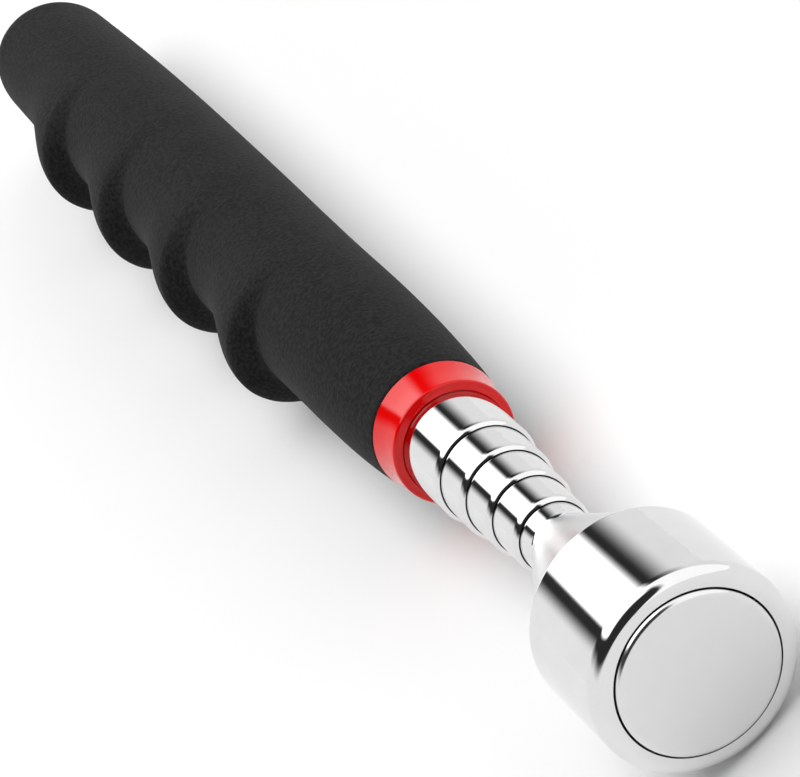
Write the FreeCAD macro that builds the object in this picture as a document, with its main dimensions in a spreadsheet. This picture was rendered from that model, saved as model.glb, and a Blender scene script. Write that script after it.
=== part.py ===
import FreeCAD, Part
import math
import os
from types import SimpleNamespace

import Sketcher

# Telescoping magnetic pick-up tool, closed. The tool's axis is the Y axis: the magnet's face is at
# the origin and looks along -Y, the grip's domed end is the +Y end, and the finger side is -X.

DIMENSIONS = {
    # head
    "magnet_radius": 7.9,
    "magnet_thick": 6.0,
    "magnet_proud": 0.45,
    "magnet_edge": 0.4,
    "glue_gap": 0.15,
    "head_radius": 10.0,
    "head_rear": 14.3,
    "head_front_round": 1.1,
    "head_rear_round": 0.4,
    "flare_radius": 9.1,
    "neck_end": 29.3,
    "neck_round_length": 2.9,
    "neck_round_rise": 0.58,
    "spigot_radius": 2.6,
    "spigot_length": 3.0,
    "plug_length": 10.0,
    "screw_radius": 2.0,
    "screw_hole_play": 0.1,
    "screw_head_radius": 3.5,
    "screw_head_height": 2.2,
    "screw_socket_flats": 2.5,
    "screw_socket_depth": 1.3,
    "screw_end": 36.3,
    # tubes, number 1 outside and number 5 inside
    "tube_radius": 5.5,
    "tube_step": 0.5,
    "tube_wall": 0.25,
    "lip_depth": 0.8,
    "lip_land": 0.25,
    "lip_play": 0.1,
    "lip_front": 31.3,
    "lip_pitch": 5.23,
    "tube_rear": 179.0,
    "tube_1_rear": 186.0,
    "base_length": 11.5,
    "base_step": 0.15,
    "base_taper": 0.3,
    "base_pitch": 12.7,
    # brass bushes and bronze springs on the tubes' bases
    "bush_length": 2.6,
    "bush_flange": 0.5,
    "bush_play": 0.04,
    "spring_play": 0.02,
    "spring_end_play": 0.15,
    "spring_span": 150.0,
    # collar, rear plug and grip
    "collar_front": 55.3,
    "collar_shoulder": 55.8,
    "collar_front_radius": 6.5,
    "collar_edge": 0.3,
    "collar_waist_bend": 16.0,
    "grip_front": 59.85,
    "grip_front_radius": 6.94,
    "spigot_wall": 0.7,
    "collar_spigot_end": 69.0,
    "rear_plug_length": 6.0,
    "rear_plug_head": 1.2,
    "grip_taper": 66.4,
    "grip_taper_radius": 7.47,
    "grip_neck": 80.4,
    "grip_neck_radius": 8.09,
    "grip_front_back": 8.27,
    "grip_middle_back": 8.73,
    "grip_rear_back": 8.87,
    "grip_reach": 7.8,
    "finger_start": 90.95,
    "finger_pitch": 22.09,
    "finger_rise": 3.6,
    "finger_top": 11.05,
    "finger_bottom": 7.2,
    "finger_radius": 7.6,
    "dome_start": 187.0,
    "dome_back": 8.4,
    "dome_reach": 7.15,
    "dome_length": 7.1,
    "dome_flat": 0.12,
}

STAGES = (2, 3, 4, 5)
FINGERS = 4
RISE_STEPS = 4
FALL_STEPS = 8
DOME_STEPS = 6


class Size:
    """A length that carries its number and the spreadsheet expression it comes from."""

    def __init__(self, value, text):
        self.value = value
        self.text = text

    def __add__(self, other):
        other = as_size(other)
        return Size(self.value + other.value, f"({self.text} + {other.text})")

    def __sub__(self, other):
        other = as_size(other)
        return Size(self.value - other.value, f"({self.text} - {other.text})")

    def __mul__(self, factor):
        return Size(self.value * factor, f"({self.text} * {factor!r})")

    def __neg__(self):
        return Size(-self.value, f"(-{self.text})")


def as_size(item):
    return item if isinstance(item, Size) else Size(float(item), repr(float(item)))


doc = FreeCAD.newDocument("pickup_tool")
sheet = doc.addObject("Spreadsheet::Sheet", "dims")
for row, (alias, number) in enumerate(DIMENSIONS.items(), start=1):
    sheet.set(f"A{row}", alias)
    sheet.set(f"B{row}", str(number))
    sheet.setAlias(f"B{row}", alias)
doc.recompute()
dim = SimpleNamespace(**{alias: Size(number, f"dims.{alias}") for alias, number in DIMENSIONS.items()})

parts = []


def new_body(label):
    """An empty body for one sub-part, standing at the origin."""
    body = doc.addObject("PartDesign::Body", label)
    body.Label = label
    body.AllowCompound = True
    body.Placement = FreeCAD.Placement()
    parts.append(body)
    return body


def new_sketch(body, name, role, offset=None):
    """A sketch on one of the body's own origin planes, moved along the plane's normal."""
    sketch = body.newObject("Sketcher::SketchObject", name)
    plane = next(item for item in body.Origin.OriginFeatures if item.Role == role)
    sketch.AttachmentSupport = [(plane, "")]
    sketch.MapMode = "FlatFace"
    if offset is not None:
        sketch.setExpression(".AttachmentOffset.Base.z", offset.text)
    return sketch


def bind(sketch, kind, geometry, size, *point):
    """Adds one dimension to the sketch and ties it to its expression."""
    index = sketch.addConstraint(Sketcher.Constraint(kind, geometry, *point, size.value))
    sketch.setExpression(f"Constraints[{index}]", size.text)


def arc_between(start, end, bend):
    """The arc from start to end: its centre is on the left for a positive bend, else on the right."""
    chord = end - start
    half = chord.Length / 2
    left = FreeCAD.Vector(-chord.y, chord.x, 0).normalize()
    away = math.sqrt(bend * bend - half * half)
    centre = (start + end) * 0.5 + left * math.copysign(away, bend)
    if bend < 0:
        start, end = end, start
    circle = Part.Circle(centre, FreeCAD.Vector(0, 0, 1), abs(bend))
    first = math.atan2(start.y - centre.y, start.x - centre.x)
    last = math.atan2(end.y - centre.y, end.x - centre.x)
    return Part.ArcOfCircle(circle, first, last)


def draw_outline(sketch, outline):
    """Draws a closed outline of (x, y) or (x, y, bend) corners; bend rounds the run that leaves it."""
    corners = []
    for x, y, *bend in outline:
        corners.append((as_size(x), as_size(y), as_size(bend[0]) if bend else None))
    count = len(corners)
    ends = []
    for number, (x, y, bend) in enumerate(corners):
        next_x, next_y, _ = corners[(number + 1) % count]
        start = FreeCAD.Vector(x.value, y.value, 0)
        end = FreeCAD.Vector(next_x.value, next_y.value, 0)
        if bend is None:
            sketch.addGeometry(Part.LineSegment(start, end))
            ends.append((1, 2))
        else:
            sketch.addGeometry(arc_between(start, end, bend.value))
            ends.append((1, 2) if bend.value > 0 else (2, 1))
    for number, (x, y, bend) in enumerate(corners):
        before = (number - 1) % count
        link = Sketcher.Constraint("Coincident", before, ends[before][1], number, ends[number][0])
        sketch.addConstraint(link)
        bind(sketch, "DistanceX", number, x, ends[number][0])
        bind(sketch, "DistanceY", number, y, ends[number][0])
        if bend is not None:
            bind(sketch, "Radius", number, bend if bend.value > 0 else -bend)


def turn(body, outline, kind="PartDesign::Revolution", name="Turned", angle=None):
    """Turns an outline of (radius, station) corners about the tool's axis, adding or cutting."""
    sketch = new_sketch(body, f"{name}Outline", "XY_Plane")
    draw_outline(sketch, outline)
    feature = body.newObject(kind, name)
    feature.Profile = sketch
    feature.ReferenceAxis = (sketch, ["V_Axis"])
    feature.Angle = 360
    if angle is not None:
        feature.setExpression("Angle", angle.text)
        feature.Midplane = True
    doc.recompute()
    return feature


def tube_sizes(number):
    """Radii and stations of tube number 1 to 5."""
    outside = dim.tube_radius - dim.tube_step * (number - 1)
    rear = dim.tube_1_rear if number == 1 else dim.tube_rear - dim.base_pitch * (number - 2)
    front = dim.neck_end if number == 5 else dim.lip_front + dim.lip_pitch * (4 - number)
    return SimpleNamespace(
        outside=outside,
        bore=outside - dim.tube_wall,
        base=outside - dim.base_step,
        lip=outside - dim.tube_step + dim.lip_play,
        front=front,
        rear=rear,
    )


def bend_of(rise, length):
    """Radius of the arc that starts along a wall and moves off it by rise over length."""
    rise_value = DIMENSIONS[rise]
    value = (rise_value ** 2 + DIMENSIONS[length] ** 2) / (2 * rise_value)
    return Size(value, f"((dims.{rise} ^ 2 + dims.{length} ^ 2) / (2 * dims.{rise}))")


def make_magnet():
    """Sintered disc magnet with broken edges."""
    radius = dim.magnet_radius
    edge = dim.magnet_edge
    turn(new_body("magnet"), [
        (0, 0),
        (radius - edge, 0, edge),
        (radius, edge),
        (radius, dim.magnet_thick - edge),
        (radius - edge, dim.magnet_thick),
        (0, dim.magnet_thick),
    ])


def make_head_cup():
    """Turned cup: pocket for the magnet, rounded rims, and a conical neck that meets the tube."""
    pocket = dim.magnet_radius + dim.glue_gap
    hole = dim.screw_radius + dim.screw_hole_play
    tube = tube_sizes(5)
    neck_bend = bend_of("neck_round_rise", "neck_round_length")
    turn(new_body("head_cup"), [
        (dim.head_radius - dim.head_front_round, dim.magnet_proud, dim.head_front_round),
        (dim.head_radius, dim.magnet_proud + dim.head_front_round),
        (dim.head_radius, dim.head_rear - dim.head_rear_round, dim.head_rear_round),
        (dim.head_radius - dim.head_rear_round, dim.head_rear),
        (dim.flare_radius, dim.head_rear),
        (tube.outside + dim.neck_round_rise, dim.neck_end - dim.neck_round_length, -neck_bend),
        (tube.outside, dim.neck_end),
        (dim.spigot_radius, dim.neck_end),
        (dim.spigot_radius, dim.neck_end - dim.spigot_length),
        (hole, dim.neck_end - dim.spigot_length),
        (hole, dim.magnet_thick + dim.screw_head_height),
        (dim.screw_head_radius, dim.magnet_thick + dim.screw_head_height),
        (dim.screw_head_radius, dim.magnet_thick),
        (pocket, dim.magnet_thick),
        (pocket, dim.magnet_proud),
    ])


def make_neck_screw():
    """Socket cap screw that holds the head to the plug in the innermost tube."""
    body = new_body("neck_screw")
    seat = dim.magnet_thick + dim.screw_head_height
    turn(body, [
        (0, dim.magnet_thick),
        (dim.screw_head_radius, dim.magnet_thick),
        (dim.screw_head_radius, seat),
        (dim.screw_radius, seat),
        (dim.screw_radius, dim.screw_end),
        (0, dim.screw_end),
    ])
    socket = new_sketch(body, "SocketOutline", "XZ_Plane", -dim.magnet_thick)
    corner = dim.screw_socket_flats.value / math.sqrt(3)
    points = []
    for number in range(7):
        turn_angle = math.radians(60 * number)
        points.append(FreeCAD.Vector(corner * math.cos(turn_angle), corner * math.sin(turn_angle), 0))
    for start, end in zip(points, points[1:]):
        socket.addGeometry(Part.LineSegment(start, end))
    for number in range(6):
        socket.addConstraint(Sketcher.Constraint("Coincident", number, 2, (number + 1) % 6, 1))
    ring = socket.addGeometry(Part.Circle(FreeCAD.Vector(), FreeCAD.Vector(0, 0, 1), corner), True)
    socket.addConstraint(Sketcher.Constraint("Coincident", ring, 3, -1, 1))
    for number in range(6):
        socket.addConstraint(Sketcher.Constraint("PointOnObject", number, 1, ring))
        if number:
            socket.addConstraint(Sketcher.Constraint("Equal", 0, number))
    socket.addConstraint(Sketcher.Constraint("PointOnObject", 0, 1, -1))
    bind(socket, "Radius", ring, Size(corner, "(dims.screw_socket_flats / sqrt(3))"))
    doc.recompute()
    before = body.Shape.Volume
    pocket = body.newObject("PartDesign::Pocket", "Socket")
    pocket.Profile = socket
    pocket.setExpression("Length", dim.screw_socket_depth.text)
    pocket.Reversed = False
    doc.recompute()
    if body.Shape.Volume > before - 1:
        pocket.Reversed = True
        doc.recompute()
    if body.Shape.Volume > before - 1:
        raise RuntimeError("the screw's socket cuts nothing")


def make_tube_plug():
    """Stepped plug pressed into the innermost tube, with a spigot that centres the head."""
    tube = tube_sizes(5)
    turn(new_body("tube_plug"), [
        (dim.screw_radius, dim.neck_end - dim.spigot_length),
        (dim.spigot_radius, dim.neck_end - dim.spigot_length),
        (dim.spigot_radius, dim.neck_end),
        (tube.bore, dim.neck_end),
        (tube.bore, dim.neck_end + dim.plug_length),
        (dim.screw_radius, dim.neck_end + dim.plug_length),
    ])


def make_tube(number):
    """Drawn steel tube: front edge rolled in to guide the next tube, base necked for its springs."""
    tube = tube_sizes(number)
    if number == 5:
        front = [
            (tube.bore, tube.front),
            (tube.outside, tube.front),
        ]
    else:
        front = [
            (tube.bore, tube.front + dim.lip_depth),
            (tube.lip, tube.front + dim.lip_land),
            (tube.lip, tube.front, bend_of("tube_step", "lip_depth")),
            (tube.outside, tube.front + dim.lip_depth),
        ]
    if number == 1:
        rear = [
            (tube.outside, tube.rear),
            (tube.bore, tube.rear),
        ]
    else:
        neck = tube.rear - dim.base_length
        rear = [
            (tube.outside, neck),
            (tube.base, neck + dim.base_taper),
            (tube.base, tube.rear),
            (tube.base - dim.tube_wall, tube.rear),
            (tube.base - dim.tube_wall, neck),
            (tube.bore, neck - dim.base_taper),
        ]
    turn(new_body(f"tube_{number}"), front + rear)


def make_base_bush(number):
    """Brass ring on the tube's base: it guides the base in the next tube out and stops the pull."""
    tube = tube_sizes(number)
    outside = tube_sizes(number - 1).bore - dim.bush_play
    rear = tube.rear + dim.bush_flange
    turn(new_body(f"base_bush_{number}"), [
        (tube.base, rear - dim.bush_length),
        (outside, rear - dim.bush_length),
        (outside, rear),
        (tube.base - dim.tube_wall, rear),
        (tube.base - dim.tube_wall, tube.rear),
        (tube.base, tube.rear),
    ])


def make_friction_springs(number):
    """Two bowed bronze shims round the tube's necked base, which grip the bore they slide in."""
    tube = tube_sizes(number)
    bush_face = tube.rear + dim.bush_flange - dim.bush_length
    front = tube.rear - dim.base_length + dim.base_taper + dim.spring_end_play
    rear = bush_face - dim.spring_end_play
    inside = tube.base + dim.spring_play
    outside = tube_sizes(number - 1).bore - dim.spring_play
    body = new_body(f"friction_springs_{number}")
    shim = turn(body, [(inside, front), (outside, front), (outside, rear), (inside, rear)],
                angle=dim.spring_span)
    pair = body.newObject("PartDesign::PolarPattern", "Pair")
    pair.Originals = [shim]
    pair.Axis = (shim.Profile[0], ["V_Axis"])
    pair.Angle = 360
    pair.Occurrences = 2
    body.Tip = pair
    doc.recompute()


def make_collar():
    """Moulded collar at the grip's mouth: coned nose, waisted band, spigot under the foam."""
    tube = tube_sizes(1)
    spigot = tube.outside + dim.spigot_wall
    turn(new_body("collar"), [
        (tube.outside, dim.collar_front),
        (dim.collar_front_radius - dim.collar_edge, dim.collar_shoulder - dim.collar_edge, dim.collar_edge),
        (dim.collar_front_radius, dim.collar_shoulder, -dim.collar_waist_bend),
        (dim.grip_front_radius, dim.grip_front),
        (spigot, dim.grip_front),
        (spigot, dim.collar_spigot_end),
        (tube.outside, dim.collar_spigot_end),
    ])


def make_rear_plug():
    """Plug pressed into the rear of the outer tube, with a head as wide as the tube."""
    tube = tube_sizes(1)
    rear = tube.rear + dim.rear_plug_head
    turn(new_body("rear_plug"), [
        (0, tube.rear - dim.rear_plug_length),
        (tube.bore, tube.rear - dim.rear_plug_length),
        (tube.bore, tube.rear),
        (tube.outside, tube.rear),
        (tube.outside, rear),
        (0, rear),
    ])


def sleeve_sections():
    """Stations of the sleeve with the radius on its back and the reach on its finger side."""
    sections = [
        (dim.grip_front, dim.grip_front_radius, dim.grip_front_radius),
        (dim.grip_taper, dim.grip_taper_radius, dim.grip_taper_radius),
        (dim.grip_neck, dim.grip_neck_radius, dim.grip_reach),
        (dim.grip_neck + 20, dim.grip_front_back, dim.grip_reach),
        (dim.grip_neck + 50, dim.grip_middle_back, dim.grip_reach),
        (dim.grip_neck + 80, dim.grip_rear_back, dim.grip_reach),
    ]
    for step in range(DOME_STEPS):
        angle = math.pi / 2 * step / DOME_STEPS
        station = dim.dome_start + dim.dome_length * math.sin(angle)
        sections.append((station, dim.dome_back * math.cos(angle), dim.dome_reach * math.cos(angle)))
    end = dim.dome_start + dim.dome_length
    sections.append((end, dim.dome_back * dim.dome_flat.value, dim.dome_reach * dim.dome_flat.value))
    return sections


def swell_sections():
    """Stations of the finger swells: each rises steeply at its front and falls slowly to the rear."""
    height = dim.finger_top - dim.finger_bottom
    fall = dim.finger_pitch - dim.finger_rise
    sections = []
    for finger in range(FINGERS):
        start = dim.finger_start + dim.finger_pitch * finger
        for step in range(RISE_STEPS):
            share = step / RISE_STEPS
            reach = dim.finger_bottom + height * math.sin(math.pi / 2 * share) ** 1.5
            sections.append((start + dim.finger_rise * share, reach))
        for step in range(FALL_STEPS):
            share = step / FALL_STEPS
            reach = dim.finger_bottom + height * (0.5 + 0.5 * math.cos(math.pi * share)) ** 1.8
            sections.append((start + dim.finger_rise + fall * share, reach))
    sections.append((dim.finger_start + dim.finger_pitch * FINGERS, dim.finger_bottom))
    return sections


def loft_rounds(body, name, rounds):
    """Adds the surface through rounds of (station, centre across, radius) along the axis."""
    sketches = []
    for number, (station, centre, radius) in enumerate(rounds):
        sketch = new_sketch(body, f"{name}Round{number}", "XZ_Plane", -station)
        middle = FreeCAD.Vector(centre.value, 0, 0)
        sketch.addGeometry(Part.Circle(middle, FreeCAD.Vector(0, 0, 1), radius.value))
        bind(sketch, "Radius", 0, radius)
        bind(sketch, "DistanceX", 0, centre, 3)
        bind(sketch, "DistanceY", 0, as_size(0), 3)
        sketches.append(sketch)
    doc.recompute()
    loft = body.newObject("PartDesign::AdditiveLoft", name)
    loft.Profile = sketches[0]
    loft.Sections = sketches[1:]
    loft.Ruled = True
    doc.recompute()


def make_foam_grip():
    """Foam sleeve: round and slightly tapered, with a rib of four finger swells on one side."""
    body = new_body("foam_grip")
    sleeve = []
    for station, back, reach in sleeve_sections():
        sleeve.append((station, (back - reach) * 0.5, (back + reach) * 0.5))
    loft_rounds(body, "Sleeve", sleeve)
    swells = []
    for station, reach in swell_sections():
        swells.append((station, dim.finger_radius - reach, dim.finger_radius))
    loft_rounds(body, "Swells", swells)
    before = body.Shape.Volume
    tube = tube_sizes(1)
    spigot = tube.outside + dim.spigot_wall
    blind_end = tube.rear + dim.rear_plug_head
    turn(body, [
        (0, dim.grip_front - 1),
        (spigot, dim.grip_front - 1),
        (spigot, dim.collar_spigot_end),
        (tube.outside, dim.collar_spigot_end),
        (tube.outside, blind_end),
        (0, blind_end),
    ], kind="PartDesign::Groove", name="Bore")
    if body.Shape.Volume > before - 1000:
        raise RuntimeError("the grip's bore cuts nothing")


make_magnet()
make_head_cup()
make_neck_screw()
make_tube_plug()
for stage in (1, *STAGES):
    make_tube(stage)
for stage in STAGES:
    make_base_bush(stage)
    make_friction_springs(stage)
make_collar()
make_rear_plug()
make_foam_grip()
doc.recompute()

for item in doc.Objects:
    if "Invalid" in item.State or "Error" in item.State:
        raise RuntimeError(f"{item.Label} failed: {item.State}")
os.makedirs("parts", exist_ok=True)
for body in parts:
    if body.Shape.isNull() or not body.Shape.isValid():
        raise RuntimeError(f"{body.Label} has no valid shape")
    print(f"{body.Label}: {len(body.Shape.Solids)} solid, {body.Shape.Volume:.1f} mm3")
    body.Shape.exportStep(f"parts/{body.Label}.step")
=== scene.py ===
import math

import bmesh
import bpy
from mathutils import Matrix, Vector


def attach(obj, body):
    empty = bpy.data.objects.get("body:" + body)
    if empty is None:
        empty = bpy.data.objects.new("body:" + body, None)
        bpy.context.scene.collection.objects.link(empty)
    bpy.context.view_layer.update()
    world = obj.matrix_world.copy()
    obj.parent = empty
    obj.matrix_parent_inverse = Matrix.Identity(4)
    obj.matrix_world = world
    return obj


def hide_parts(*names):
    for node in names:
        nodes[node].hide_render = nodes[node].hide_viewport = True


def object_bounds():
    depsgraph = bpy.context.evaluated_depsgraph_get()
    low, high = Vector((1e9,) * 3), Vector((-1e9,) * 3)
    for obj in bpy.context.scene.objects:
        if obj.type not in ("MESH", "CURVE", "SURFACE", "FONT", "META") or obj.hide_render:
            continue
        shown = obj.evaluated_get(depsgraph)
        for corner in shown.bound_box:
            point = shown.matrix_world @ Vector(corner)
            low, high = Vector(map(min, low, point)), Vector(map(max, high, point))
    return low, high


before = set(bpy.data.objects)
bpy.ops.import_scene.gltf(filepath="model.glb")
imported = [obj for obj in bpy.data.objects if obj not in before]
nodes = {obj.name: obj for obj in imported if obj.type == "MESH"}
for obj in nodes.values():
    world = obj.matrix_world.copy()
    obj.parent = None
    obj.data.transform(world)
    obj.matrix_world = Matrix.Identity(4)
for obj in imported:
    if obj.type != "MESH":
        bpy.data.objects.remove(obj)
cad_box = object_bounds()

MM = 0.001
scene = bpy.context.scene


# The studio. The tool lies on a pale table under a long soft box that runs overhead along it, with a
# second box at the near right and a pale wall at the left, as chromed tubes are lit. The gaps between
# them are dark. The camera looks down the tool from in front of the magnet.

class Wire:
    """A node's output that takes part in Python sums: each sum adds a Math node."""

    def __init__(self, graph, socket):
        self.graph = graph
        self.socket = socket

    def maths(self, operation, *others, clamp=False):
        inputs = dict(enumerate((self, *others)))
        settings = {"operation": operation, "use_clamp": clamp}
        return self.graph.node("ShaderNodeMath", settings, inputs)

    def __add__(self, other):
        return self.maths("ADD", other)

    __radd__ = __add__

    def __sub__(self, other):
        return self.maths("SUBTRACT", other)

    def __rsub__(self, other):
        return (self * -1) + other

    def __mul__(self, other):
        return self.maths("MULTIPLY", other)

    __rmul__ = __mul__

    def __truediv__(self, other):
        return self.maths("DIVIDE", other)

    def __pow__(self, other):
        return self.maths("POWER", other)


class Graph:
    """A node tree, for a material, the world or a Geometry Nodes tree."""

    def __init__(self, tree):
        self.tree = tree
        tree.nodes.clear()

    def node(self, kind, settings=None, inputs=None, output=0):
        """Adds a node: its settings first, then its inputs by name or number. Returns one output."""
        made = self.tree.nodes.new(kind)
        for name, value in (settings or {}).items():
            if name == "points":
                set_points(made.mapping, value)
            else:
                setattr(made, name, value)
        for name, value in (inputs or {}).items():
            if isinstance(value, Wire):
                self.tree.links.new(value.socket, made.inputs[name])
            else:
                made.inputs[name].default_value = value
        return Wire(self, made.outputs[output]) if len(made.outputs) else None

    def output_of(self, wire, name):
        """Another output of the node that a wire comes from."""
        return Wire(self, wire.socket.node.outputs[name])

    def mix(self, factor, low, high):
        """A colour between low and high."""
        return self.node("ShaderNodeMix", {"data_type": "RGBA"}, {0: factor, 6: low, 7: high}, output=2)

    def step(self, value, start, end):
        """0 before start and 1 after end, with a soft change between them."""
        settings = {"interpolation_type": "SMOOTHSTEP"}
        return self.node("ShaderNodeMapRange", settings, {0: value, 1: start, 2: end})


def set_points(mapping, points):
    """Gives a curve its points, from left to right."""
    curve = mapping.curves[0]
    curve.points[0].location, curve.points[1].location = points[0], points[-1]
    for point in points[1:-1]:
        curve.points.new(*point)
    mapping.update()


def grey(level):
    return (level, level, level, 1.0)


def light_the_studio():
    """Soft boxes as a sky. turn is the angle round the tool's axis: 0 overhead, 90 at the right.

    Towards the far end the boxes keep their width down to the horizon, where the overhead one fades.
    """
    world = bpy.data.worlds.new("studio")
    world.use_nodes = True
    scene.world = world
    sky = Graph(world.node_tree)
    split = sky.node("ShaderNodeSeparateXYZ", None, {0: sky.node("ShaderNodeTexCoord")})
    along = sky.output_of(split, "Y")
    height = sky.output_of(split, "Z")
    at_far_end = sky.step(along, 0.88, 0.94)
    height = height + (height.maths("MAXIMUM", along * 0.58) - height) * at_far_end
    turn = sky.output_of(split, "X").maths("ARCTAN2", height) * (180 / math.pi)
    near = 1 - sky.step(along, 0.06, 0.24)
    behind = along.maths("MINIMUM", 0.0)
    overhead_left = sky.step(turn, -34.5, -27.0)
    overhead_right = 1 - sky.step(turn, 9.0, 27.0)
    overhead_ends = sky.step(along, -0.55, -0.30) * (1 - sky.step(along, 0.96, 0.99) * 0.8)
    overhead = overhead_left * overhead_right * overhead_ends
    left_edge = behind * 22 - 44
    left_wall = 1 - sky.step(turn, left_edge - 18, left_edge + 2)
    right_edge = behind * -30 + 15
    right_near = sky.step(turn, right_edge - 5, right_edge + 5) * near
    right_far = sky.step(turn, 31.0, 62.0) * (1 - near)
    low = 1 - sky.step(turn, 95.0, 105.0)
    shine = (overhead * OVERHEAD + left_wall * LEFT_WALL + right_near * low * NEAR_RIGHT
             + right_far * FAR_RIGHT + DARK_GAP)
    glow = sky.node("ShaderNodeBackground", None, {"Color": grey(1.0), "Strength": shine})
    sky.node("ShaderNodeOutputWorld", None, {"Surface": glow})


def lay_the_table():
    """A plain pale table top, just under the tool's lowest point."""
    half = 3.0
    top = cad_box[0][2]
    mesh = bpy.data.meshes.new("table")
    corners = [(-half, -half, top), (half, -half, top), (half, half, top), (-half, half, top)]
    mesh.from_pydata(corners, [], [(0, 1, 2, 3)])
    table = bpy.data.objects.new("table", mesh)
    scene.collection.objects.link(table)
    finish = bpy.data.materials.new("table_top")
    finish.use_nodes = True
    paint = Graph(finish.node_tree)
    matt = {"Base Color": grey(0.79), "Roughness": 0.9, "Specular IOR Level": 0.1}
    surface = paint.node("ShaderNodeBsdfPrincipled", None, matt)
    paint.node("ShaderNodeOutputMaterial", None, {"Surface": surface})
    mesh.materials.append(finish)


def place_camera():
    """Looks along the tool from in front of the magnet and above it, turned about its own line."""
    aim = Vector((0.14, 70.5, 0)) * MM
    away = 403.2 * MM
    height = math.radians(30.34)
    roll = math.radians(46.6)
    camera = bpy.data.cameras.new("camera")
    camera.sensor_width = 36.0
    camera.lens = 180.0
    holder = bpy.data.objects.new("camera", camera)
    place = aim + away * Vector((0, -math.cos(height), math.sin(height)))
    turned = Matrix.Rotation(math.radians(90) - height, 4, "X") @ Matrix.Rotation(-roll, 4, "Z")
    holder.matrix_world = Matrix.Translation(place) @ turned
    scene.collection.objects.link(holder)
    scene.camera = holder


OVERHEAD = 3.0
LEFT_WALL = 1.02
NEAR_RIGHT = 1.32
FAR_RIGHT = 0.95
DARK_GAP = 0.03
scene.view_settings.view_transform = "Standard"
light_the_studio()
lay_the_table()
place_camera()


# The magnet: a sintered disc with a satin nickel plate, glued in the cup and standing slightly proud
# of it. Its face is very slightly mottled, and its edge is broken all round.

def new_material(name):
    """An empty material and the graph that fills it."""
    material = bpy.data.materials.new(name)
    material.use_nodes = True
    return material, Graph(material.node_tree)


def finish_material(graph, **sockets):
    """Ends a material in one Principled surface, with underscores standing for spaces."""
    inputs = {name.replace("_", " "): value for name, value in sockets.items()}
    surface = graph.node("ShaderNodeBsdfPrincipled", None, inputs)
    graph.node("ShaderNodeOutputMaterial", None, {"Surface": surface})


def noise(graph, size, detail=2.0, where=None):
    """Noise whose grain is size across, from 0 to 1, on the piece's own coordinates."""
    if where is None:
        where = graph.output_of(graph.node("ShaderNodeTexCoord"), "Object")
    inputs = {"Vector": where, "Scale": 1 / size, "Detail": detail, "Roughness": 0.55}
    return graph.node("ShaderNodeTexNoise", None, inputs)


def bump(graph, height, depth, strength=1.0):
    """A surface raised by height times depth."""
    inputs = {"Height": height, "Distance": depth, "Strength": strength}
    return graph.node("ShaderNodeBump", None, inputs)


def arc_between(start, end, bend):
    """Points on the arc after start and before end: its centre is on the left for a positive bend."""
    chord = end - start
    middle = (start + end) / 2
    left = Vector((-chord.y, chord.x)).normalized()
    away = math.sqrt(max(bend * bend - chord.length_squared / 4, 0))
    centre = middle + left * math.copysign(away, bend)
    sweep = 2 * math.asin(min(1, chord.length / 2 / abs(bend)))
    steps = max(3, math.ceil(math.degrees(sweep) / 6))
    arm = start - centre
    way = math.copysign(sweep, bend)
    points = []
    for step in range(1, steps):
        angle = way * step / steps
        across = arm.x * math.cos(angle) - arm.y * math.sin(angle)
        along = arm.x * math.sin(angle) + arm.y * math.cos(angle)
        points.append(centre + Vector((across, along)))
    return points


def turned(name, corners, finishes, runs=(), around=192):
    """A closed solid turned about the tool's axis from (radius, station) corners in millimetres.

    A third number bends the run that leaves its corner. runs gives a finish's number to some runs.
    """
    outline = []
    for number, (radius, station, *bend) in enumerate(corners):
        start = Vector((radius, station))
        end = Vector(corners[(number + 1) % len(corners)][:2])
        outline.append((start, number))
        if bend:
            outline += [(point, number) for point in arc_between(start, end, bend[0])]
    runs = dict(runs)
    work = bmesh.new()
    rings = []
    for (radius, station), _ in outline:
        places = []
        for spoke in range(around if radius > 0 else 1):
            angle = 2 * math.pi * spoke / around
            places.append(Vector((radius * math.sin(angle), station, radius * math.cos(angle))) * MM)
        rings.append([work.verts.new(place) for place in places])
    for number, (_, run) in enumerate(outline):
        ring = rings[number]
        after = rings[(number + 1) % len(rings)]
        if len(ring) == len(after) == 1:
            continue
        for spoke in range(around):
            beside = (spoke + 1) % around
            corners_here = [ring[spoke % len(ring)], ring[beside % len(ring)],
                            after[beside % len(after)], after[spoke % len(after)]]
            face = work.faces.new(dict.fromkeys(corners_here))
            face.material_index = runs.get(run, 0)
    bmesh.ops.recalc_face_normals(work, faces=work.faces)
    mesh = bpy.data.meshes.new(name)
    work.to_mesh(mesh)
    work.free()
    mesh.shade_smooth()
    mesh.set_sharp_from_angle(angle=math.radians(25))
    for finish in finishes:
        mesh.materials.append(finish)
    piece = bpy.data.objects.new(name, mesh)
    scene.collection.objects.link(piece)
    return piece


def put_in(piece, node, body):
    """Puts a finished piece in the place of the frame's plain one."""
    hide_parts(node)
    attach(piece, body)


def satin_nickel():
    material, graph = new_material("satin_nickel")
    cloud = noise(graph, 1.6 * MM, 4.0)
    grain = noise(graph, 0.12 * MM)
    finish_material(
        graph,
        Base_Color=graph.mix(cloud, (0.66, 0.66, 0.655, 1), (0.71, 0.71, 0.71, 1)),
        Metallic=1.0,
        Roughness=0.13 + cloud * 0.08,
        Normal=bump(graph, grain * 0.4 + cloud * 0.6, 0.004 * MM, 0.5),
    )
    return material


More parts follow.
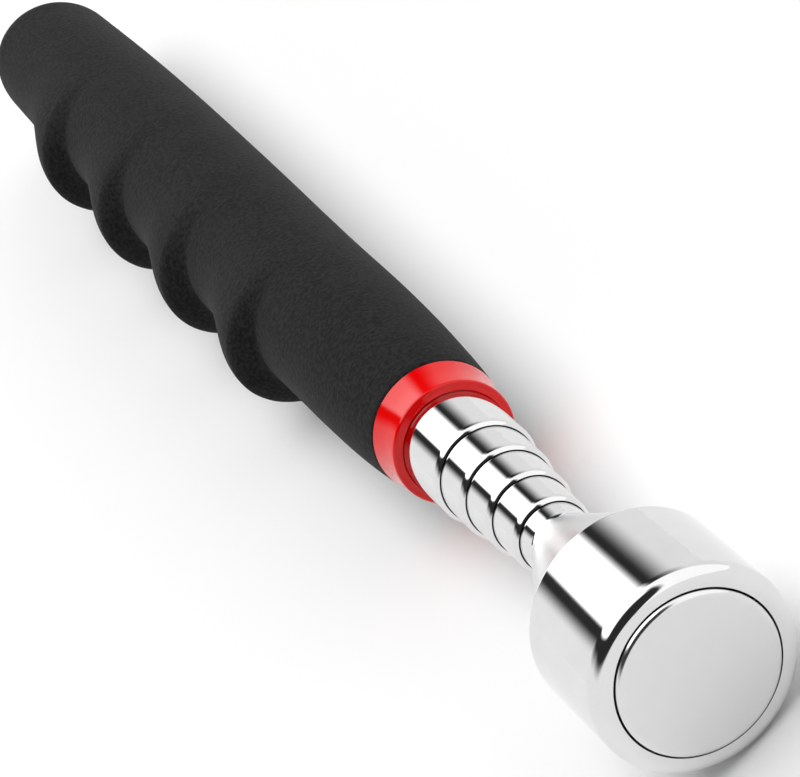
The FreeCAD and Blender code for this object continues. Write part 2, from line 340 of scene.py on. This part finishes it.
MAGNET_RADIUS = 7.9
MAGNET_EDGE = 0.55
MAGNET_THICK = 6.0
magnet = turned("plated_magnet", [
    (0, 0),
    (MAGNET_RADIUS - MAGNET_EDGE, 0, MAGNET_EDGE),
    (MAGNET_RADIUS, MAGNET_EDGE),
    (MAGNET_RADIUS, MAGNET_THICK - MAGNET_EDGE),
    (MAGNET_RADIUS - MAGNET_EDGE, MAGNET_THICK),
    (0, MAGNET_THICK),
], [satin_nickel()])
put_in(magnet, "magnet", "stage_5")


# The head cup: turned from steel bar with its neck in one piece, then polished and chromed. The wall
# and floor of the pocket round the magnet are painted near-black as painted shade in the narrow gap. The
# neck is drawn duller than it is, only to blur the collar's reflection in it.

def polished_chrome(name, stretch, rough=0.025):
    """Chrome over polished steel. stretch lays the last polishing marks along or round the piece."""
    material, graph = new_material(name)
    smear = noise(graph, 3.5 * MM, 4.0)
    where = graph.output_of(graph.node("ShaderNodeTexCoord"), "Object")
    marks = noise(graph, 0.11 * MM, 3.0, graph.node("ShaderNodeMapping", None, {0: where, 3: stretch}))
    finish_material(
        graph,
        Base_Color=graph.mix(smear, (0.67, 0.67, 0.67, 1), (0.75, 0.75, 0.75, 1)),
        Metallic=1.0,
        Roughness=smear * 0.05 + marks * 0.02 + rough,
        Normal=bump(graph, marks, 0.0012 * MM, 0.5),
    )
    return material


def gap_painted_shade():
    material, graph = new_material("gap_painted_shade")
    # Painted shade: near-black, standing for the shade in the narrow gap round the magnet.
    lumps = noise(graph, 0.3 * MM, 3.0)
    finish_material(
        graph,
        Base_Color=graph.mix(lumps, grey(0.006), grey(0.02)),
        Roughness=0.5 + lumps * 0.3,
        Normal=bump(graph, lumps, 0.03 * MM, 0.6),
    )
    return material


CUP_RADIUS = 10.0
CUP_FRONT = 0.45
CUP_REAR = 14.3
CUP_ROUND = 1.35
CUP_REAR_ROUND = 0.4
FLARE_RADIUS = 9.35
NECK_END = 29.3
NECK_RADIUS = 3.5
NECK_LAND = 0.87
NECK_DULLNESS = 0.27
PLUG_RADIUS = 2.6
PLUG_LENGTH = 3.0
SCREW_HOLE = 2.1
POCKET = 8.05
SCREW_HEAD = 3.5
SCREW_HEAD_HEIGHT = 2.2
SEAT = MAGNET_THICK + SCREW_HEAD_HEIGHT
# Runs 12 and 13, the pocket's floor and wall round the magnet, take the painted shade of the gap.
cup = turned("chromed_cup", [
    (CUP_RADIUS - CUP_ROUND, CUP_FRONT, CUP_ROUND),
    (CUP_RADIUS, CUP_FRONT + CUP_ROUND),
    (CUP_RADIUS, CUP_REAR - CUP_REAR_ROUND, CUP_REAR_ROUND),
    (CUP_RADIUS - CUP_REAR_ROUND, CUP_REAR),
    (FLARE_RADIUS, CUP_REAR),
    (NECK_RADIUS, NECK_END - NECK_LAND),
    (NECK_RADIUS, NECK_END),
    (PLUG_RADIUS, NECK_END),
    (PLUG_RADIUS, NECK_END - PLUG_LENGTH),
    (SCREW_HOLE, NECK_END - PLUG_LENGTH),
    (SCREW_HOLE, SEAT),
    (SCREW_HEAD, SEAT),
    (SCREW_HEAD, MAGNET_THICK),
    (POCKET, MAGNET_THICK),
    (POCKET, CUP_FRONT),
], [
    polished_chrome("turned_chrome", (0.04, 1, 0.04)),
    gap_painted_shade(),
    polished_chrome("satin_neck", (0.04, 1, 0.04), rough=NECK_DULLNESS),
], runs=[(4, 2), (12, 1), (13, 1)])
put_in(cup, "head_cup", "stage_5")


# The five tubes: drawn thin-walled steel, chromed outside. The front edges of numbers 1 to 4 are rolled
# in to guide the next tube. The bores and the lips' inner faces are dull oily steel, painted near-black
# as painted shade in the narrow gaps between the tubes. All but number 1 are necked at the
# rear for their springs.

def oily_bore_painted_shade():
    material, graph = new_material("oily_bore_painted_shade")
    # Painted shade: oily steel made near-black, far darker than bare steel, so that the gaps between the
    # tubes read dark.
    film = noise(graph, 0.8 * MM, 3.0)
    finish_material(
        graph,
        Base_Color=graph.mix(film, (0.010, 0.010, 0.009, 1), (0.035, 0.033, 0.030, 1)),
        Metallic=0.3,
        Roughness=0.45 + film * 0.25,
        Normal=bump(graph, film, 0.01 * MM, 0.4),
    )
    return material


TUBE_RADIUS = 5.5
TUBE_STEP = 0.5
TUBE_WALL = 0.25
LIP_FRONT = 31.3
LIP_PITCH = 5.23
LIP_DEPTH = 0.8
LIP_TIP = 0.06
LIP_LAND = 0.35
LIP_GAP = 0.09
LIP_BEND = 0.86
TUBE_REAR = 179.0
TUBE_1_REAR = 186.0
BASE_PITCH = 12.7
BASE_LENGTH = 11.5
BASE_STEP = 0.15
BASE_TAPER = 0.3
drawn_chrome = polished_chrome("drawn_chrome", (1, 0.03, 1))
bore = oily_bore_painted_shade()
for number in range(1, 6):
    outside = TUBE_RADIUS - TUBE_STEP * (number - 1)
    inside = outside - TUBE_WALL
    tip = outside - TUBE_STEP + LIP_GAP
    front = NECK_END if number == 5 else LIP_FRONT + LIP_PITCH * (4 - number)
    corners = [(inside, front), (outside, front)]
    if number < 5:
        corners = [
            (inside, front + LIP_DEPTH),
            (tip, front + LIP_LAND),
            (tip, front + LIP_TIP, LIP_BEND),
            (outside, front + LIP_DEPTH),
        ]
    chromed = len(corners) - 1
    rear = TUBE_REAR - BASE_PITCH * (number - 2)
    if number == 1:
        rear = TUBE_1_REAR
        corners += [(outside, rear), (inside, rear)]
    else:
        neck = rear - BASE_LENGTH
        base = outside - BASE_STEP
        corners += [
            (outside, neck),
            (base, neck + BASE_TAPER),
            (base, rear),
            (base - TUBE_WALL, rear),
            (base - TUBE_WALL, neck),
            (inside, neck - BASE_TAPER),
        ]
    # The lips' inner faces and the bores take the second finish: dull oily steel, painted near-black as
    # the shade in the gaps between the tubes.
    bare = [(run, 1) for run in range(len(corners)) if run < chromed - 1 or run > len(corners) - 3]
    tube = turned(f"drawn_tube_{number}", corners, [drawn_chrome, bore], runs=bare)
    put_in(tube, f"tube_{number}", "handle" if number == 1 else f"stage_{number}")


# The fixings inside: a zinc plated socket screw under the magnet, and the turned steel plug in the
# innermost tube that it screws into. They are seen only with the tool taken apart.

def dress(node, material):
    """Gives a piece that comes from the frame its finish."""
    mesh = nodes[node].data
    mesh.materials.clear()
    mesh.materials.append(material)


def plated_steel():
    material, graph = new_material("plated_steel")
    patches = noise(graph, 1.5 * MM, 3.0)
    finish_material(
        graph,
        Base_Color=graph.mix(patches, (0.55, 0.55, 0.57, 1), (0.66, 0.67, 0.70, 1)),
        Metallic=1.0,
        Roughness=0.25 + patches * 0.2,
        Normal=bump(graph, noise(graph, 0.08 * MM), 0.003 * MM, 0.5),
    )
    return material


steel = plated_steel()
dress("neck_screw", steel)
dress("tube_plug", steel)


# The slides' hidden parts: a turned brass bush on each sliding tube's base, and in front of it a
# pair of rolled bronze shims that grip the tube outside.

def bare_metal(name, dark, light, rough):
    """Brass or bronze as it comes off the tool, with turning or rolling marks round the axis."""
    material, graph = new_material(name)
    where = graph.output_of(graph.node("ShaderNodeTexCoord"), "Object")
    rings = graph.node("ShaderNodeMapping", None, {"Vector": where, "Scale": (0.05, 1, 0.05)})
    marks = noise(graph, 0.1 * MM, 2.0, rings)
    tint = noise(graph, 1.2 * MM, 3.0)
    finish_material(
        graph,
        Base_Color=graph.mix(tint, dark, light),
        Metallic=1.0,
        Roughness=rough + marks * 0.15,
        Normal=bump(graph, marks, 0.004 * MM, 0.6),
    )
    return material


brass = bare_metal("turned_brass", (0.62, 0.43, 0.15, 1), (0.74, 0.55, 0.22, 1), 0.22)
bronze = bare_metal("rolled_bronze", (0.50, 0.28, 0.15, 1), (0.62, 0.38, 0.22, 1), 0.30)
for number in range(2, 6):
    dress(f"base_bush_{number}", brass)
    dress(f"friction_springs_{number}", bronze)


# The collar: moulded in red plastic with a high gloss, pushed on the outer tube so that its spigot
# holds the mouth of the foam.

def red_plastic():
    material, graph = new_material("red_plastic")
    flow = noise(graph, 3 * MM, 2.0)
    finish_material(
        graph,
        Base_Color=graph.mix(flow, (0.62, 0.0003, 0.0006, 1), (0.70, 0.0008, 0.0012, 1)),
        Roughness=0.07 + flow * 0.05,
        Specular_IOR_Level=0.28,
        Coat_Weight=0.1,
        Coat_Roughness=0.03,
        Normal=bump(graph, noise(graph, 1.3 * MM), 0.006 * MM, 0.25),
    )
    return material


COLLAR_FRONT = 55.3
COLLAR_SHOULDER = 55.8
COLLAR_FRONT_RADIUS = 6.5
COLLAR_EDGE = 0.3
COLLAR_LEAD = 0.1
COLLAR_LEAD_RISE = 0.12
COLLAR_WAIST = 16.0
GRIP_MOUTH = 59.85
GRIP_MOUTH_RADIUS = 6.94
SPIGOT_RADIUS = 6.2
SPIGOT_END = 69.0
collar = turned("glossy_collar", [
    (TUBE_RADIUS, COLLAR_FRONT + COLLAR_LEAD),
    (TUBE_RADIUS + COLLAR_LEAD_RISE, COLLAR_FRONT),
    (COLLAR_FRONT_RADIUS - COLLAR_EDGE, COLLAR_SHOULDER - COLLAR_EDGE, COLLAR_EDGE),
    (COLLAR_FRONT_RADIUS, COLLAR_SHOULDER, -COLLAR_WAIST),
    (GRIP_MOUTH_RADIUS, GRIP_MOUTH),
    (SPIGOT_RADIUS, GRIP_MOUTH),
    (SPIGOT_RADIUS, SPIGOT_END),
    (TUBE_RADIUS, SPIGOT_END),
], [red_plastic()])
put_in(collar, "collar", "handle")


# The rear plug: black plastic, pressed into the outer tube's end under the foam. It keeps grit out of
# the tubes and closes the grip.

def black_plastic():
    material, graph = new_material("black_plastic")
    flow = noise(graph, 2 * MM, 3.0)
    finish_material(
        graph,
        Base_Color=graph.mix(flow, grey(0.02), grey(0.035)),
        Roughness=0.45 + flow * 0.2,
        Normal=bump(graph, noise(graph, 0.15 * MM), 0.01 * MM, 0.6),
    )
    return material


dress("rear_plug", black_plastic())


# The grip: a moulded foam sleeve, pulled over the outer tube and the collar's spigot. It is round and
# slightly tapered, closed by a dome at the rear, and has a rib of four finger swells on one side. Each
# swell rises steeply at its front and falls slowly to the rear.

GRIP = {
    "mouth": GRIP_MOUTH,
    "edge_round": 0.5,
    "finger_top": 11.05,
    "finger_start": 90.95,
    "finger_pitch": 22.09,
    "finger_rise": 3.6,
    "rib_narrowness": 4.0,
    "dome_start": 187.0,
    "dome_length": 7.05,
    "bore": 5.52,
    "spigot": 6.22,
    "spigot_end": 69.05,
    "bore_end": 187.25,
}
BACK = [
    (0.0, 0.694), (0.051, 0.747), (0.16, 0.809), (0.32, 0.827), (0.555, 0.873), (0.79, 0.887), (1.0, 0.84),
]
REACH = [(0.0, 0.694), (0.051, 0.747), (0.11, 0.772), (0.18, 0.78), (0.72, 0.78), (1.0, 0.715)]
LARGEST = 10.0
GRIP_ROWS = (1, 2, 1, 2, 1, 6, 420, 30)
GRIP_ROUND = 180


def grip_tree(material):
    """Geometry Nodes: a grid rolled into the sleeve. Its rows run from the bore's end out and back."""
    tree = bpy.data.node_groups.new("foam_sleeve", "GeometryNodeTree")
    tree.interface.new_socket("Geometry", in_out="OUTPUT", socket_type="NodeSocketGeometry")
    for name in GRIP:
        tree.interface.new_socket(name, in_out="INPUT", socket_type="NodeSocketFloat")
    graph = Graph(tree)
    given = graph.node("NodeGroupInput")
    size = {name: graph.output_of(given, name) for name in GRIP}
    rows = sum(GRIP_ROWS)
    grid = graph.node("GeometryNodeMeshGrid", None, {
        "Size X": rows, "Size Y": 1.0, "Vertices X": rows + 1, "Vertices Y": GRIP_ROUND + 1})
    spot = graph.node("ShaderNodeSeparateXYZ", None, {0: graph.node("GeometryNodeInputPosition")})
    row = graph.output_of(spot, "X") + rows / 2
    turn = (graph.output_of(spot, "Y") + 0.5) * (2 * math.pi)
    starts = [sum(GRIP_ROWS[:number]) for number in range(len(GRIP_ROWS))]
    shares = []
    for start, count in zip(starts, GRIP_ROWS):
        shares.append(((row - start) / count).maths("MULTIPLY", 1.0, clamp=True))
    floor, wall, step, spigot, face, edge, run, dome = shares
    edge_turn = edge * (math.pi / 2)
    dome_turn = dome * (math.pi / 2)
    length = size["dome_start"] - size["mouth"]
    rounded = size["edge_round"] * (1 - edge_turn.maths("COSINE"))
    level = size["mouth"] + rounded + run * (length - size["edge_round"])
    station = (level
               + (size["bore_end"] - size["mouth"])
               - wall * (size["bore_end"] - size["spigot_end"])
               - spigot * (size["spigot_end"] - size["mouth"])
               + dome_turn.maths("SINE") * size["dome_length"])
    along = (level - size["mouth"]) / length
    back = graph.node("ShaderNodeFloatCurve", {"points": BACK}, {"Value": along}) * LARGEST
    reach = graph.node("ShaderNodeFloatCurve", {"points": REACH}, {"Value": along}) * LARGEST
    count = (level - size["finger_start"]) / size["finger_pitch"]
    among = count.maths("GREATER_THAN", 0.0) * count.maths("LESS_THAN", 4.0)
    part = count.maths("FRACT")
    rise = size["finger_rise"] / size["finger_pitch"]
    climb = (part / rise).maths("MULTIPLY", 1.0, clamp=True) * (math.pi / 2)
    descent = ((part - rise) / (1 - rise)).maths("MULTIPLY", 1.0, clamp=True) * math.pi
    front = climb.maths("SINE") ** 1.5
    rear = (descent.maths("COSINE") * 0.5 + 0.5) ** 1.8
    reach = reach + (size["finger_top"] - reach) * front * rear * among
    side = (0.5 - turn.maths("SINE") * 0.5) ** size["rib_narrowness"]
    outer = (back + (reach - back) * side) * dome_turn.maths("COSINE")
    outer = outer - size["edge_round"] * (1 - edge_turn.maths("SINE"))
    inner = floor * size["bore"] + step * (size["spigot"] - size["bore"])
    radius = inner * (1 - face) + outer * face
    place = graph.node("ShaderNodeCombineXYZ", None, {
        "X": turn.maths("SINE") * radius * MM,
        "Y": station * MM,
        "Z": turn.maths("COSINE") * radius * MM})
    rolled = graph.node("GeometryNodeSetPosition", None, {"Geometry": grid, "Position": place})
    closed = graph.node("GeometryNodeMergeByDistance", None, {"Geometry": rolled, "Distance": 0.002 * MM})
    whole = graph.node("GeometryNodeRealizeInstances", None, {"Geometry": closed})
    smooth = graph.node("GeometryNodeSetShadeSmooth", None, {"Geometry": whole})
    covered = graph.node("GeometryNodeSetMaterial", None, {"Geometry": smooth, "Material": material})
    graph.node("NodeGroupOutput", None, {"Geometry": covered})
    return tree


def run_tree(name, tree, sizes):
    """Runs a Geometry Nodes tree on an empty mesh and returns the result as a plain mesh object."""
    holder = bpy.data.objects.new(name, bpy.data.meshes.new(name))
    scene.collection.objects.link(holder)
    modifier = holder.modifiers.new("shape", "NODES")
    modifier.node_group = tree
    for item in tree.interface.items_tree:
        if item.in_out == "INPUT" and item.name in sizes:
            modifier[item.identifier] = sizes[item.name]
    depsgraph = bpy.context.evaluated_depsgraph_get()
    mesh = bpy.data.meshes.new_from_object(holder.evaluated_get(depsgraph))
    holder.modifiers.clear()
    holder.data = mesh
    return holder


def face_outwards(piece):
    """Turns every face of a closed piece outwards."""
    work = bmesh.new()
    work.from_mesh(piece.data)
    bmesh.ops.recalc_face_normals(work, faces=work.faces)
    work.to_mesh(piece.data)
    work.free()


def black_foam():
    """Closed-cell foam with a moulded skin: matt, finely grained, a little paler where it is rubbed."""
    material, graph = new_material("black_foam")
    cells = noise(graph, 0.42 * MM, 3.0)
    where = graph.output_of(graph.node("ShaderNodeTexCoord"), "Object")
    pits = graph.node("ShaderNodeTexVoronoi", None, {"Vector": where, "Scale": 1 / (0.5 * MM)})
    patches = noise(graph, 5 * MM, 4.0)
    tone = graph.step(cells * 0.72 + patches * 0.22 + pits * 0.06, 0.38, 0.62)
    finish_material(
        graph,
        Base_Color=graph.mix(tone, (0.0018, 0.0018, 0.0018, 1), (0.0125, 0.0125, 0.0123, 1)),
        Roughness=0.80 + patches * 0.12,
        Specular_IOR_Level=0.14,
        Sheen_Weight=0.025,
        Sheen_Roughness=0.5,
        Normal=bump(graph, cells * 0.7 + pits * 0.3, 0.09 * MM, 0.8),
    )
    return material


foam = run_tree("foam_sleeve", grip_tree(black_foam()), GRIP)
face_outwards(foam)
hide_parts("foam_grip")
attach(foam, "handle")
